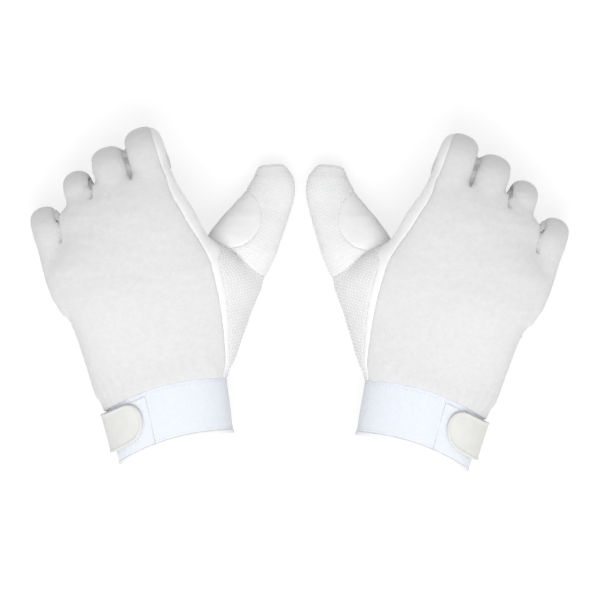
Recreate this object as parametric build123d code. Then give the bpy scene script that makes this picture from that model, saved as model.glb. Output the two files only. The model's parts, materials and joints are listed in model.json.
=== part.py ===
from build123d import *
from math import acos, cos, degrees, radians, sin
import os

# A pair of thin cotton gloves with grip-dot palms, a thumb gusset and a hook-and-loop wrist tab,
# in millimetres. Each glove lies palm down as a relaxed hand fills it: fingers curled under, thumb out
# to the side. A glove is modelled in its own hand frame: X to the thumb side, Y along the hand to the
# fingers, Z out of the back of the hand, origin in the wrist seam at the height of the table.

# ---- Cloth and clearances --------------------------------------------------------------------------
fabric = 1.2  # wall of the sewn cotton knit
seat_gap = 0.35  # free space between pieces that part when the tab opens
roundness = 2.3  # exponent of the oval sections: 2 is an ellipse, more is squarer
palm_facet, finger_facet, cuff_facet = 22.5, 36.0, 15.0  # degrees between the corners of a section
seating = 0.5  # a piece is cut from stock this much too deep, so that it sits on its neighbour exactly
reach = 100.0  # cutting shapes go this far, past everything in a glove

# ---- Palm: y along the hand; little side x and thumb side x; underside z and back z; roll in degrees;
# ---- x of the back panel's thumb-side seam and x of the side strip's outer seam --------------------
palm_rows = [
    (7.0, -37.4, 41.6, 0.2, 42.8, 0.0, 37.2, 39.0),
    (20.0, -37.6, 50.9, 0.8, 46.5, -5.0, 39.6, 42.6),
    (34.0, -39.0, 60.0, 3.0, 50.0, -9.5, 41.6, 45.4),
    (46.0, -40.6, 68.0, 5.5, 54.0, -11.0, 42.4, 46.6),
    (61.0, -45.0, 59.0, 11.0, 59.0, -6.0, 42.6, 47.0),
    (69.2, -47.8, 51.4, 16.0, 59.7, -1.5, 40.7, 44.8),
    (77.5, -50.6, 43.8, 21.0, 60.4, 3.0, 38.8, 42.4),
    (92.0, -50.6, 40.0, 27.0, 59.0, 7.0, 34.6, 39.0),
    (106.0, -29.0, 35.4, 33.0, 55.5, 8.0, 30.4, 34.4),
    (113.0, -23.0, 28.0, 37.0, 49.0, 8.0, 25.0, 27.4),
]
wrist_seams = (34.4, 35.6)  # x of the same two seams where the hand meets the cuff
sleeve_rows = (-9.0, 1.0)  # y of the two sections that lap over the cuff, before the hem is trimmed
little_seam = 180.0  # where back and palm meet, degrees round from the thumb side over the back

# ---- Fingers: knuckle, splay to the little side, slope down, bone lengths, bends, half width, half height
fingers = {
    "index": dict(knuckle=(25.0, 90.0, 48.5), splay=5.2, slope=10.0, bones=(46.5, 23.0, 15.0),
                  curls=(88.0, 42.0), half=(10.5, 9.8)),
    "middle": dict(knuckle=(5.6, 90.0, 49.0), splay=6.0, slope=17.0, bones=(42.5, 21.0, 15.0),
                   curls=(86.0, 48.0), half=(9.4, 9.6)),
    "ring": dict(knuckle=(-15.0, 88.0, 45.5), splay=3.4, slope=20.0, bones=(36.0, 19.5, 14.5),
                 curls=(84.0, 52.0), half=(8.9, 9.2)),
    "little": dict(knuckle=(-31.8, 66.0, 41.0), splay=12.0, slope=8.0, bones=(41.3, 17.8, 13.0),
                   curls=(84.0, 40.0), half=(9.8, 9.0)),
}
knuckle_spread = 1.16  # a finger is this much wider where it leaves the hand
bend_slack = 1.5  # how far the bend's centre lies under the finger's inner wall
tip_taper = 0.55  # size of a finger's end section against its full section
tip_length = 0.7  # of the finger's half height
finger_stations = ((0.0,), (0.0, 0.5), (0.0,), (0.0,), (0.0,))  # sections along each straight and bend
seam_edge = 45.0  # where a fourchette meets the back and the palm, degrees from a finger's side
strip_low, strip_high = 18.0, 54.0  # the side strip's two seams along the index finger

# ---- Thumb: inner edge, outer edge, height of the centre, half height --------------------------------
thumb_rows = [
    ((24.0, 52.0), (57.0, 36.0), 21.0, 12.0),
    ((43.5, 77.2), (74.6, 54.0), 19.2, 13.4),
    ((55.0, 86.9), (84.6, 69.4), 16.8, 12.6),
    ((64.4, 93.4), (91.4, 80.6), 14.0, 11.6),
    ((70.4, 98.0), (96.2, 90.6), 11.8, 10.6),
    ((74.6, 102.4), (97.6, 97.6), 10.4, 9.4),
    ((78.8, 107.2), (95.2, 104.0), 9.8, 6.4),
]
gusset_centre = (58.2, 85.0)  # of the plain half-moon patch in the thumb's crotch
gusset_radius = 17.4
gusset_sides = 18

# ---- Cuff, vent and closure --------------------------------------------------------------------------
cuff_top = (1.0, 34.6)  # x of its centre and half width at the wrist seam
cuff_end = (-0.4, 32.4)  # the same at the hem
cuff_middle, cuff_half_height = 21.2, 20.0
cuff_length = 34.0
cuff_bulge = 5.2  # both edges of the cuff arch this far towards the hand in the middle
cuff_skew = 2.2  # degrees the cuff's edges turn
arc_steps = 6  # straight steps in an arched edge
cuff_wall = 1.6
hand_hem = 2.6  # the hand's lower edge lies this far over the cuff
cuff_kept = 12.0  # length of the cuff's end that is kept open into the hand
cuff_stock = (9.0, -40.0)  # the cuff's pieces are cut from a tube between these
patch_setback = 2.6  # the loop patch starts this far below the hand's lower edge
hem_height, hem_proud = 2.6, 0.5
vent_low, vent_high = 180.0, 195.0  # degrees round the cuff
tape_wall = 0.9  # stretch tape that closes the vent from inside
tape_lap = 15.0  # degrees it laps behind the band on each side
pile = 0.8  # thickness of the loop patch and of the hook patch
loop_low, loop_high = 105.0, 165.0
hook_low, hook_high = 120.0, 165.0
tab_low, tab_high = 90.0, 210.0
hinge_gap = 0.75  # degrees between the tab's end and its sewn root
hinge_land = 15.0  # degrees next to the hinge line that the raised rim leaves bare
tab_wall, tab_rim, tab_rim_width = 1.4, 0.5, 1.6
tab_outline = [(-60.0, -5.8), (-33.0, -4.6), (-12.8, -0.9), (-12.8, -21.2), (-33.0, -26.6), (-60.0, -28.4)]
tab_corner = 9.5  # radius of the free end's corners
patch_margin = 2.2  # the hook patch stops short of the tab's edge by this
anchor_high = 240.0

# ---- Pose of the pair --------------------------------------------------------------------------------
hand_lean = 13.4  # degrees the left hand leans towards its little finger
hand_place = (-75.5, -50.0)
right_turn = -2.75  # the right glove's turn against the mirror image of the left
right_pivot = (78.6, 6.7)
right_shift = (-2.0, -3.2)


class Section:
    """One oval cross-section of a sewn tube: centre, sideways and outward directions, half sizes."""

    def __init__(self, centre, side, out, half_width, half_height, facet=finger_facet):
        self.centre = Vector(*centre)
        self.side = Vector(*side)
        self.out = Vector(*out)
        self.half = (half_width, half_height)
        self.facet = facet

    def point(self, angle, inset=0.0):
        """Point of the oval at an angle from the side direction, moved inwards by inset."""
        c = cos(radians(angle))
        s = sin(radians(angle))
        x = (self.half[0] - inset) * abs(c) ** (2 / roundness)
        y = (self.half[1] - inset) * abs(s) ** (2 / roundness)
        x = x if c >= 0 else -x
        y = y if s >= 0 else -y
        return self.centre + self.side * x + self.out * y

    def angle_at(self, x):
        """Angle on the back of the oval whose point lies at x across the hand."""
        share = min(abs(x - self.centre.X) / self.half[0], 1.0)
        return degrees(acos(share ** (roundness / 2)))

    def shifted(self, distance):
        """The same section carried along the tube, away from its start."""
        centre = self.centre + self.out.cross(self.side) * distance
        return Section(centre, self.side, self.out, *self.half, self.facet)


def spread(low, high, count):
    """Count + 1 values from low to high."""
    return [low + (high - low) * i / count for i in range(count + 1)]


def net(rings):
    """Closed solid with flat facets through rings of equally many points, flat at both ends."""
    facets = [Face(Wire.make_polygon(rings[0])), Face(Wire.make_polygon(rings[-1]))]
    for a, b in zip(rings, rings[1:]):
        for p, q, r, s in zip(a, a[1:] + a[:1], b[1:] + b[:1], b):
            facets.append(Face(Wire.make_polygon([p, q, r])))
            facets.append(Face(Wire.make_polygon([p, r, s])))
    return Solid(Shell(facets))


def ring(section, inset=0.0):
    """Corner points right round a section."""
    around = spread(0, 360 - section.facet, round(360 / section.facet) - 1)
    return [section.point(a, inset) for a in around]


def tube(sections, inset=0.0):
    """Closed solid through whole sections."""
    return net([ring(s, inset) for s in sections])


def corners(sections, low, high):
    """Angles of a band's corners at each section; each seam is one angle or one angle per section."""
    lows = low if isinstance(low, list) else [low] * len(sections)
    highs = high if isinstance(high, list) else [high] * len(sections)
    count = max(1, round(max(h - l for l, h in zip(lows, highs)) / sections[0].facet))
    return [spread(l, h, count) for l, h in zip(lows, highs)]


def strip(sections, low, high, inner=fabric + seating, outer=0.0):
    """Solid strip of a tube's wall between two seams."""
    rings = []
    for s, around in zip(sections, corners(sections, low, high)):
        outside = [s.point(a, outer) for a in around]
        inside = [s.point(a, inner) for a in reversed(around)]
        rings.append(outside + inside)
    return net(rings)


def lining(sections, seams, inset):
    """Corner points right round each section, under the corners of the strips between its seams."""
    bands = [corners(sections, a, b) for a, b in zip(seams, seams[1:])]
    return [[s.point(a, inset) for b in around for a in b[:-1]] for s, *around in zip(sections, *bands)]


def largest(shape):
    """The biggest solid of a result, without the crumbs that a cut may leave."""
    return max(shape.solids(), key=lambda s: s.volume)


# ---- Sections ----------------------------------------------------------------------------------------
def cuff_section(y, outward=0.0):
    """Cross-section of the cuff at a distance y along the hand."""
    share = -y / cuff_length
    x = cuff_top[0] + (cuff_end[0] - cuff_top[0]) * share
    w = cuff_top[1] + (cuff_end[1] - cuff_top[1]) * share
    half = (w + outward, cuff_half_height + outward)
    return Section((x, y, cuff_middle), (1, 0, 0), (0, 0, 1), *half, cuff_facet)


def palm_sections():
    """Cross-sections of the hand from over the cuff to the finger roots."""
    made = []
    for y in sleeve_rows:
        made.append(cuff_section(y, fabric))
        made[-1].facet = palm_facet
    for y, low_x, high_x, low_z, high_z, roll, _, _ in palm_rows:
        c = cos(radians(roll))
        s = sin(radians(roll))
        centre = ((low_x + high_x) / 2, y, (low_z + high_z) / 2)
        half = ((high_x - low_x) / 2, (high_z - low_z) / 2)
        made.append(Section(centre, (c, 0, s), (-s, 0, c), *half, palm_facet))
    return made


def finger_sections(knuckle, splay, slope, bones, curls, half):
    """Cross-sections along a curled finger: three bones in one upright plane with two rounded bends."""
    w, h = half
    forward = Vector(-sin(radians(splay)), cos(radians(splay)), 0)
    side = Vector(cos(radians(splay)), sin(radians(splay)), 0)
    corners = [Vector(*knuckle)]
    turn = slope
    for length, curl in zip(bones, (*curls, 0.0)):
        heading = forward * cos(radians(turn)) - Vector(0, 0, sin(radians(turn)))
        corners.append(corners[-1] + heading * length)
        turn += curl
    plane = Plane(origin=corners[0], x_dir=forward, z_dir=side)
    flat = [plane.to_local_coords(c) for c in corners]
    second = min(h + bend_slack, 0.4 * bones[2] / sin(radians(curls[1] / 2)))
    line = plane * FilletPolyline(*[(p.X, p.Y) for p in flat], radius=[h + bend_slack, second])
    made = []
    for edge, stations in zip(line.edges(), finger_stations):
        for t in stations:
            grow = 1.0 if made else knuckle_spread
            out = side.cross(edge.tangent_at(t))
            made.append(Section(edge.position_at(t), side, out, w * grow, h * grow))
    end = line.edges()[-1].position_at(1)
    tangent = line.edges()[-1].tangent_at(1)
    out = side.cross(tangent)
    made.append(Section(end, side, out, w, h))
    made.append(Section(end + tangent * h * tip_length, side, out, w * tip_taper, h * tip_taper))
    return made


def thumb_sections():
    """Cross-sections of the thumb, upright, each between its inner and its outer edge."""
    made = []
    for inner, outer, height, half_height in thumb_rows:
        a = Vector(*inner, height)
        b = Vector(*outer, height)
        made.append(Section((a + b) / 2, (b - a).normalized(), (0, 0, 1), (b - a).length / 2, half_height))
    return made


# ---- Cutting shapes in the hand frame ----------------------------------------------------------------
def above_arc(y):
    """Everything on the finger side of an arched cuff edge whose two ends lie at y along the hand."""
    w = cuff_top[1]
    edge = [(w * t, y + cuff_bulge * (1 - t * t)) for t in spread(-1, 1, arc_steps)]
    ahead = [(reach, y), (reach, 2 * reach), (-reach, 2 * reach), (-reach, y)]
    face = make_face(Polyline(*edge, *ahead, close=True))
    return Rot(0, 0, cuff_skew) * extrude(face, reach, both=True)


def tab_prism(margin=0.0):
    """Everything over and under the tab's outline as seen from above, less a margin."""
    face = make_face(Polyline(*tab_outline, close=True))
    face = fillet(face.vertices().sort_by(Axis.X)[-2:], tab_corner)
    if margin:
        face = offset(face, amount=-margin)
    return extrude(face, reach, both=True)


# ---- The sewn hand -----------------------------------------------------------------------------------
def palm_seams(palm):
    """Angles of the palm tube's seams, one list each, from the side strip's outer seam right round."""
    rows = [(*wrist_seams,), (*wrist_seams,)] + [row[6:] for row in palm_rows]
    backs = [s.angle_at(row[0]) for s, row in zip(palm, rows)]
    sides = [s.angle_at(row[1]) for s, row in zip(palm, rows)]
    return sides, backs, little_seam, [360 + a for a in sides]


def finger_seams(name):
    """Angles of a finger's seams, right round."""
    far = little_seam if name == "little" else 180 - seam_edge
    if name == "index":
        return strip_low, strip_high, far, 180 + seam_edge, 360 + strip_low
    if name == "little":
        return -seam_edge, seam_edge, far, 360 - seam_edge
    return -seam_edge, seam_edge, far, 180 + seam_edge, 360 - seam_edge


def hand_cavity(palm, digits, thumb, band_fill):
    """All the space inside the hand: palm, fingers and thumb, and the end of the cuff."""
    seams = palm_seams(palm)
    sections = [palm[0].shifted(-seating), *palm[1:-1], palm[-1].shifted(-fabric)]
    sleeve = len(sleeve_rows)
    core = net(lining(sections, seams, fabric + seating)[:sleeve] + lining(sections, seams, fabric)[sleeve:])
    inner = [tube([*thumb[:-1], thumb[-1].shifted(-fabric)], fabric)]
    for name, s in digits.items():
        inner.append(net(lining([*s[:-1], s[-1].shifted(-fabric)], finger_seams(name), fabric)))
    return core.fuse(*inner, band_fill)


def web(palm, left, right):
    """End wall of the hand between two fingers' centre lines."""
    slab = tube([palm[-1].shifted(-fabric), palm[-1]])
    middle = Pos((left + right) / 2, palm[-1].centre.Y, palm[-1].centre.Z)
    return largest(slab & (middle * Box(right - left, reach, reach)))


def hand_panels(palm, digits, cavity, hem):
    """Back, palm, side strip and fourchettes, each cut against the ones sewn in before it."""
    raws = {}
    names = list(digits)
    for a, b in zip(names, names[1:]):
        left, right = digits[b][0].centre.X, digits[a][0].centre.X
        raws[f"{a}_{b}_fourchette"] = [
            strip(digits[a], 180 - seam_edge, 180 + seam_edge),
            strip(digits[b], -seam_edge, seam_edge),
            web(palm, left, right),
        ]
    sides, backs, _, last = palm_seams(palm)
    raws["index_side_panel"] = [
        strip(palm, sides, backs),
        strip(digits["index"], strip_low, strip_high),
    ]
    raws["back_panel"] = [
        strip(palm, backs, little_seam),
        strip(digits["index"], strip_high, 180 - seam_edge),
        strip(digits["middle"], seam_edge, 180 - seam_edge),
        strip(digits["ring"], seam_edge, 180 - seam_edge),
        strip(digits["little"], seam_edge, little_seam),
        web(palm, digits["index"][0].centre.X, reach),
    ]
    caps = []
    for name, s in digits.items():
        caps.append(net(lining([s[-1].shifted(-fabric), s[-1]], finger_seams(name), 0.0)))
    raws["palm_panel"] = [
        strip(palm, little_seam, last),
        strip(digits["index"], 180 + seam_edge, 360 + strip_low),
        strip(digits["middle"], 180 + seam_edge, 360 - seam_edge),
        strip(digits["ring"], 180 + seam_edge, 360 - seam_edge),
        strip(digits["little"], little_seam, 360 - seam_edge),
        *caps,
    ]
    made = {}
    for name, raw in raws.items():
        solid = raw[0].fuse(*raw[1:])
        if name not in ("index_middle_fourchette", "middle_ring_fourchette", "ring_little_fourchette"):
            solid = solid & hem
        made[name] = largest(solid.cut(cavity, *made.values()))
    return made


def thumb_pieces(palm, thumb, cavity, panels):
    """The dotted thumb stall and the plain half-moon gusset in its crotch."""
    shell = tube(thumb).cut(cavity, tube(palm), *panels)
    patch = extrude(Pos(*gusset_centre) * RegularPolygon(gusset_radius, gusset_sides), reach, both=True)
    return largest(shell - patch), largest(shell & patch)


# ---- Cuff and closure --------------------------------------------------------------------------------
def cuff_pieces():
    """Band, binding, vent tape, loop patch, tab, hook patch and the tab's sewn root."""
    long = [cuff_section(y) for y in cuff_stock]
    top, bottom = above_arc(0.0), above_arc(-cuff_length)
    trim = above_arc(-cuff_length + hem_height)
    around = (vent_high - 360, vent_low)
    lap = (vent_low - tape_lap, vent_high + tape_lap)
    band = (strip(long, *around, cuff_wall, 0.0) & trim) - top
    binding = strip(long, *around, cuff_wall, -hem_proud)
    tape = strip(long, *lap, cuff_wall + tape_wall, cuff_wall - seating)
    loops = strip(long, loop_low, loop_high, seating, -pile)
    lift = pile + seat_gap
    hooks = strip(long, hook_low, hook_high, -lift, -lift - pile - seating)
    outside = lift + pile + tab_wall
    plate = strip(long, tab_low, tab_high, -lift - pile, -outside)
    bead = strip(long, tab_low, tab_high - hinge_land, -outside + seating, -outside - tab_rim)
    root = strip(long, tab_high + hinge_gap, anchor_high, seating, -outside)
    outline = tab_prism()
    tab = (plate & outline) + (bead & (outline - tab_prism(tab_rim_width)))
    pieces = {
        "cuff_band": band,
        "cuff_binding": (binding & bottom) - trim,
        "vent_gusset": (tape & trim) - top - band,
        "loop_patch": (loops & trim) - above_arc(-hand_hem - patch_setback) - band,
        "hook_patch": (hooks & tab_prism(patch_margin)) - tab,
        "closure_tab": tab,
        "tab_anchor": (root & outline) - band,
    }
    fill = tube(long) - top - Pos(0, -cuff_kept - reach, 0) * Box(2 * reach, 2 * reach, 2 * reach)
    return {name: largest(shape) for name, shape in pieces.items()}, fill


def glove():
    """All the pieces of the left glove in its hand frame."""
    palm = palm_sections()
    digits = {name: finger_sections(**bones) for name, bones in fingers.items()}
    thumb = thumb_sections()
    pieces, fill = cuff_pieces()
    cavity = hand_cavity(palm, digits, thumb, fill)
    panels = hand_panels(palm, digits, cavity, above_arc(-hand_hem))
    stall, patch = thumb_pieces(palm, thumb, cavity, panels.values())
    pieces.update(panels, thumb_panel=stall, thumb_gusset=patch)
    return pieces


def pair():
    """Both gloves in place: the right one is the left one's mirror image, turned and shifted a little."""
    left_place = Pos(*hand_place, 0) * Rot(0, 0, hand_lean)
    about = Pos(*right_pivot, 0) * Rot(0, 0, right_turn) * Pos(-right_pivot[0], -right_pivot[1], 0)
    both = {}
    for name, piece in glove().items():
        placed = left_place * piece
        both[f"left_{name}"] = placed
        both[f"right_{name}"] = Pos(*right_shift, 0) * about * mirror(placed, about=Plane.YZ)
    box = Compound(children=[Compound(p.wrapped) for p in both.values()]).bounding_box()
    home = Pos(-(box.min.X + box.max.X) / 2, -(box.min.Y + box.max.Y) / 2, -box.min.Z)
    return {name: home * piece for name, piece in both.items()}


os.makedirs("parts", exist_ok=True)
for name, piece in pair().items():
    export_step(piece, f"parts/{name}.step")
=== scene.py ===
import json

import bpy
import numpy as np
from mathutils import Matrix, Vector


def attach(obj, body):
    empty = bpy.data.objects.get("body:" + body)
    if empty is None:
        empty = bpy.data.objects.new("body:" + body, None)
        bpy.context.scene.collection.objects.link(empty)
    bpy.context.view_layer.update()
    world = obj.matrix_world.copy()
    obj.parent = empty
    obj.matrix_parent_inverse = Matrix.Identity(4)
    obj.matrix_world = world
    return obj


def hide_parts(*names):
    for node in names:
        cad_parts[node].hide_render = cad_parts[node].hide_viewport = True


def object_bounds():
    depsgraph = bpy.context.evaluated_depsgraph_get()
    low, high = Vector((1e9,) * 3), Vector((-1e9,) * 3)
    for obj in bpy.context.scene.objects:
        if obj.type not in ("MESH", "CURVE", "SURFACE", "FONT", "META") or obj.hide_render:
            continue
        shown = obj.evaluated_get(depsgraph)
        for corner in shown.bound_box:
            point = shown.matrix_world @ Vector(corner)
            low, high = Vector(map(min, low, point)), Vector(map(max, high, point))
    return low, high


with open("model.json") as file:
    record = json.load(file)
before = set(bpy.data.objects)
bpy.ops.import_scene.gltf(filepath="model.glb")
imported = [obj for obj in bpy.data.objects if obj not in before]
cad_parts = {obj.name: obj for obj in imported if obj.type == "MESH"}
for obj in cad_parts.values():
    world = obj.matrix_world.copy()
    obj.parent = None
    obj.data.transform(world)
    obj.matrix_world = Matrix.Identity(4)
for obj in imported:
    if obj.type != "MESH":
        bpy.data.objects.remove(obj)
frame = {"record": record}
cad_box = [[float(v) for v in corner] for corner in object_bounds()]

# ---- The two hands' places ------------------------------------------------------------------------------
# A pair of thin cotton gloves lies palm down, filled as if a relaxed hand were inside. The shape is worked
# out once, in millimetres in the left hand's frame: X to the thumb, Y to the fingers, Z out of the back.
MM = 0.001
CUFF_MOUNT = np.array([0.0, -31.0, 21.2])  # where the record's wrist mount lies in that frame
CUFF_SLANT = 0.04118  # x of the cuff's centre line per unit of y
SIDES = ("left", "right")


def hand_place(side):
    """Origin and axes of a hand in the scene, from the wrist mount: Y runs against the mount's axis, and X
    lies square to it, to the right in the left glove and to the left in the right one."""
    mount = next(m for m in frame["record"]["mounts"] if m["name"] == f"{side}_wrist_opening")
    ahead = -np.array(mount["axis"])
    across = np.array([ahead[1], -ahead[0], 0.0]) * (1 if side == "left" else -1)
    axes = np.array([across, ahead, [0.0, 0.0, 1.0]])
    start = CUFF_MOUNT.copy()
    start[0] = 1.0 + CUFF_SLANT * start[1]
    return np.array(mount["pos_m"]) - start * MM @ axes, axes


PLACES = {side: hand_place(side) for side in SIDES}


def new_piece(name, side, points, faces, material, nodes=(), body=None, uv=None):
    """Mesh piece of one glove: points in the hand's frame go to the scene, and the mirrored right glove has
    its faces turned so that they point outwards again."""
    origin, axes = PLACES[side]
    mesh = bpy.data.meshes.new(f"{side}_{name}")
    turned = faces if side == "left" else faces[:, ::-1]
    mesh.from_pydata(origin + points * MM @ axes, [], turned)
    mesh.polygons.foreach_set("use_smooth", np.ones(len(turned), bool))
    if uv is not None:
        layer = mesh.uv_layers.new(name="cloth")
        corners = uv if uv.ndim == 3 else uv[faces]
        corners = corners if side == "left" else corners[:, ::-1]
        layer.data.foreach_set("uv", corners.ravel().astype(np.float32))
    mesh.materials.append(material)
    piece = bpy.data.objects.new(f"{side}_{name}", mesh)
    bpy.context.scene.collection.objects.link(piece)
    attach(piece, body or f"{side}_glove")
    if nodes:
        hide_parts(*[f"{side}_{node}" for node in nodes])
    return piece


def walled(piece, wall):
    """Gives a cloth surface its thickness, inwards."""
    modifier = piece.modifiers.new("wall", "SOLIDIFY")
    modifier.thickness = wall * MM
    modifier.offset = -1.0
    return piece


# ---- Cotton: the knit and how it shades -------------------------------------------------------------------
# All the cloth is a fine white cotton knit. Its face is brushed, so it looks cloudy and soft, with the ribs
# of the knit just showing.
def node_group(name, outputs, inputs):
    """Empty shader group with named values in and out."""
    group = bpy.data.node_groups.new(name, "ShaderNodeTree")
    for label, kind, value in inputs:
        socket = group.interface.new_socket(label, in_out="INPUT", socket_type=kind)
        socket.default_value = value
    for label, kind in outputs:
        group.interface.new_socket(label, in_out="OUTPUT", socket_type=kind)
    start = group.nodes.new("NodeGroupInput")
    end = group.nodes.new("NodeGroupOutput")
    return group, start, end


def noise(tree, vector, scale, detail=3.0, roughness=0.55):
    """Noise texture at so many lumps a metre."""
    node = tree.nodes.new("ShaderNodeTexNoise")
    node.inputs["Detail"].default_value = detail
    node.inputs["Roughness"].default_value = roughness
    if isinstance(scale, (int, float)):
        node.inputs["Scale"].default_value = scale
    else:
        tree.links.new(scale, node.inputs["Scale"])
    tree.links.new(vector, node.inputs["Vector"])
    return node.outputs["Fac"]


def spread(tree, value, low, high):
    """Map Range: a noise value between 0.3 and 0.7 goes to the range from low to high."""
    node = tree.nodes.new("ShaderNodeMapRange")
    tree.links.new(value, node.inputs["Value"])
    node.inputs["From Min"].default_value = 0.3
    node.inputs["From Max"].default_value = 0.7
    node.inputs["To Min"].default_value = low
    node.inputs["To Max"].default_value = high
    return node.outputs["Result"]


def combine(tree, operation, a, b):
    """Math node; each input is a socket or a number."""
    node = tree.nodes.new("ShaderNodeMath")
    node.operation = operation
    for socket, value in zip(node.inputs, (a, b)):
        if isinstance(value, (int, float)):
            socket.default_value = value
        else:
            tree.links.new(value, socket)
    return node.outputs[0]


def knit_group():
    """Brushed knit: shade is 1 with cloudy patches and fibre flecks taken off; height is the sum of ribs
    along the cloth, stitches across them and the brushed fibres."""
    inputs = [
        ("Cloud size", "NodeSocketFloat", 200.0),
        ("Cloud depth", "NodeSocketFloat", 0.06),
        ("Fleck depth", "NodeSocketFloat", 0.03),
        ("Ribs", "NodeSocketFloat", 1.0),
        ("Fuzz", "NodeSocketFloat", 1.0),
    ]
    outputs = [("Shade", "NodeSocketFloat"), ("Height", "NodeSocketFloat")]
    group, start, end = node_group("brushed knit", outputs, inputs)
    place = group.nodes.new("ShaderNodeTexCoord")
    flat = group.nodes.new("ShaderNodeUVMap")
    flat.uv_map = "cloth"
    where = place.outputs["Object"]
    cloud = spread(group, noise(group, where, start.outputs["Cloud size"], 3.0, 0.6), 0.0, 1.0)
    fleck = spread(group, noise(group, where, 1500.0, 2.0), 0.0, 1.0)
    lost = combine(group, "MULTIPLY", cloud, start.outputs["Cloud depth"])
    lost = combine(group, "ADD", lost, combine(group, "MULTIPLY", fleck, start.outputs["Fleck depth"]))
    group.links.new(combine(group, "SUBTRACT", 1.0, lost), end.inputs["Shade"])
    split = group.nodes.new("ShaderNodeSeparateXYZ")
    group.links.new(flat.outputs["UV"], split.inputs["Vector"])
    ribs = combine(group, "SINE", combine(group, "MULTIPLY", split.outputs["X"], 2 * np.pi / 0.75), 0.0)
    rows = combine(group, "SINE", combine(group, "MULTIPLY", split.outputs["Y"], 2 * np.pi / 0.95), 0.0)
    weave = combine(group, "ADD", ribs, combine(group, "MULTIPLY", rows, 0.5))
    weave = combine(group, "MULTIPLY", weave, start.outputs["Ribs"])
    fuzz = noise(group, where, 2200.0, 3.0, 0.7)
    fuzz = combine(group, "ADD", fuzz, noise(group, where, 600.0, 2.0, 0.6))
    fuzz = combine(group, "MULTIPLY", fuzz, start.outputs["Fuzz"])
    group.links.new(combine(group, "ADD", weave, fuzz), end.inputs["Height"])
    return group


KNIT = knit_group()


def cloth_material(name, colour, settings, bump, sheen=0.25):
    """Principled cloth whose colour is the given colour times the group's shade, and whose bump is the
    group's height, bump millimetres deep. The strip's and the thumb's given colours are raised as
    painted light, and the palm's is kept lower as painted shade."""
    material = bpy.data.materials.new(name)
    material.use_nodes = True
    tree = material.node_tree
    shader = tree.nodes["Principled BSDF"]
    surface = tree.nodes.new("ShaderNodeGroup")
    surface.node_tree = KNIT
    for label, value in settings.items():
        surface.inputs[label].default_value = value
    tint = tree.nodes.new("ShaderNodeMix")
    tint.data_type = "RGBA"
    tint.blend_type = "MULTIPLY"
    tint.inputs["Factor"].default_value = 1.0
    tint.inputs["A"].default_value = (*colour, 1)
    tree.links.new(surface.outputs["Shade"], tint.inputs["B"])
    tree.links.new(tint.outputs["Result"], shader.inputs["Base Color"])
    relief = tree.nodes.new("ShaderNodeBump")
    relief.inputs["Strength"].default_value = 1.0
    relief.inputs["Distance"].default_value = bump * MM
    tree.links.new(surface.outputs["Height"], relief.inputs["Height"])
    tree.links.new(relief.outputs["Normal"], shader.inputs["Normal"])
    shader.inputs["Roughness"].default_value = 0.92
    shader.inputs["Specular IOR Level"].default_value = 0.2
    shader.inputs["Sheen Weight"].default_value = sheen
    shader.inputs["Sheen Roughness"].default_value = 0.6
    return material


BACK_COTTON = cloth_material(
    "brushed cotton back", (0.795, 0.79, 0.797),
    {"Cloud size": 330.0, "Cloud depth": 0.055, "Fleck depth": 0.05, "Ribs": 0.3, "Fuzz": 1.0}, 0.07)
# The strip, the fourchettes and the gusset share one cotton whose colour is raised to near white. This is
# partly the strip's own paler tone and partly painted light, so that the gusset in the thumb's crotch looks
# brightly lit.
STRIP_COTTON_PALE_AND_PAINTED_LIGHT = cloth_material(
    "plain cotton strip, pale with painted light", (0.95, 0.95, 0.95),
    {"Cloud size": 220.0, "Cloud depth": 0.04, "Fleck depth": 0.03, "Ribs": 0.6, "Fuzz": 0.7},
    0.05, sheen=0.6)
GRIP_KNIT = {"Cloud size": 260.0, "Cloud depth": 0.05, "Fleck depth": 0.05, "Ribs": 0.7, "Fuzz": 0.7}
# The palm's dotted cloth is kept darker than the thumb's. This is painted shade where the palm's cloth turns
# under at the thenar's outer edge.
PALM_COTTON_PAINTED_SHADE = cloth_material("cotton under the palm's dots, darker as painted shade", (0.86, 0.85, 0.855), GRIP_KNIT, 0.05)
# The thumb's dotted cloth is lightened to near white as painted light. This lifts the shade that the dots and
# the hollows round the thumb cast on it.
THUMB_COTTON_PAINTED_LIGHT = cloth_material("cotton under the thumb's dots, lightened as painted light", (0.94, 0.94, 0.95), GRIP_KNIT, 0.05, sheen=0.5)

# ---- The hand's form --------------------------------------------------------------------------------------
# The sewn hand is one body: an oval palm, four curled fingers and a thumb. Each is a tube of oval sections
# along a path, and the cloth lies smoothly over all of them.
ROUNDNESS = 2.3  # exponent of the ovals: 2 is an ellipse, more is squarer
CLOTH = 1.2
RING = 72  # steps round a section
CUFF_TOP = (1.0, 34.6)  # x of the cuff's centre and its half width at the wrist seam
CUFF_END = (-0.4, 32.4)  # the same at the hem
CUFF_MIDDLE, CUFF_HALF, CUFF_LENGTH = 21.2, 20.0, 34.0
PALM_ROWS = np.array([  # y; low and high x; low and high z; roll; x of the strip's two seams
    (7.0, -37.4, 41.6, 0.2, 42.8, 0.0, 37.2, 39.0),
    (34.0, -39.0, 60.0, 3.0, 50.0, -9.5, 41.6, 45.4),
    (46.0, -40.6, 68.0, 5.5, 54.0, -11.0, 42.4, 46.6),
    (61.0, -45.0, 59.0, 11.0, 59.0, -6.0, 42.6, 47.0),
    (77.5, -48.8, 43.8, 21.0, 60.4, 3.0, 38.8, 43.2),
    (86.0, -44.0, 41.4, 25.0, 59.8, 6.0, 36.2, 40.6),
    (92.0, -36.5, 40.0, 27.0, 59.4, 7.0, 34.6, 39.0),
    (106.0, -33.2, 35.0, 33.0, 56.0, 8.5, 30.4, 34.4),
    (113.0, -25.5, 32.5, 34.0, 53.0, 10.0, 29.4, 32.0),
    (118.5, -22.5, 30.0, 35.5, 49.5, 12.0, 28.0, 29.6),
])
WRIST_SEAMS = (34.4, 35.6)
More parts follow.
